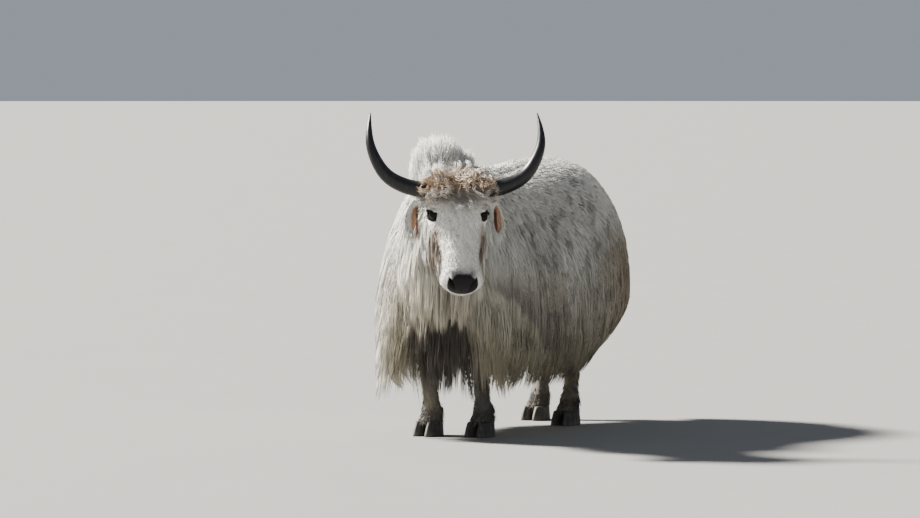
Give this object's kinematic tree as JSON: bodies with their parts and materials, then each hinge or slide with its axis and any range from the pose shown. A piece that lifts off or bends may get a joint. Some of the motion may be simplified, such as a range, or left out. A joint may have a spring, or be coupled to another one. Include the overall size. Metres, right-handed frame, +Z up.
{
  "type": "yak",
  "caption": "Standing long-haired domestic yak with upswept black horns, a tufted hump, a knee-long skirt of pale hair and its head turned to its left.",
  "frame": {"origin": "on the floor, under the middle of the bounding box", "axes": "+Z up, the trunk runs along Y with the forequarters towards -Y, +X to the yak's left, where its head is turned"},
  "size_m": [1.0669, 2.1232, 1.4615],
  "materials": {
    "coat": "long coarse hair",
    "horn": "polished black horn",
    "ear": "thin haired skin",
    "eye": "wet",
    "leg": "short dusty hair",
    "hoof": "worn horn"
  },
  "bodies": {
    "root": {"head": "coat", "neck": "coat", "hump": "coat", "shoulder_left": "coat", "shoulder_right": "coat", "flank_left": "coat", "flank_right": "coat", "hindquarter_left": "coat", "hindquarter_right": "coat", "tail": "coat", "horn_left": "horn", "horn_right": "horn", "ear_left": "ear", "ear_right": "ear", "eye_left": "eye", "eye_right": "eye", "foreleg_left": "leg", "foreleg_right": "leg", "hindleg_left": "leg", "hindleg_right": "leg", "foreleg_left_claw_left": "hoof", "foreleg_left_claw_right": "hoof", "foreleg_right_claw_left": "hoof", "foreleg_right_claw_right": "hoof", "hindleg_left_claw_left": "hoof", "hindleg_left_claw_right": "hoof", "hindleg_right_claw_left": "hoof", "hindleg_right_claw_right": "hoof", "foreleg_left_dewclaw_left": "hoof", "foreleg_left_dewclaw_right": "hoof", "foreleg_right_dewclaw_left": "hoof", "foreleg_right_dewclaw_right": "hoof", "hindleg_left_dewclaw_left": "hoof", "hindleg_left_dewclaw_right": "hoof", "hindleg_right_dewclaw_left": "hoof", "hindleg_right_dewclaw_right": "hoof"}
  },
  "joints": []
}
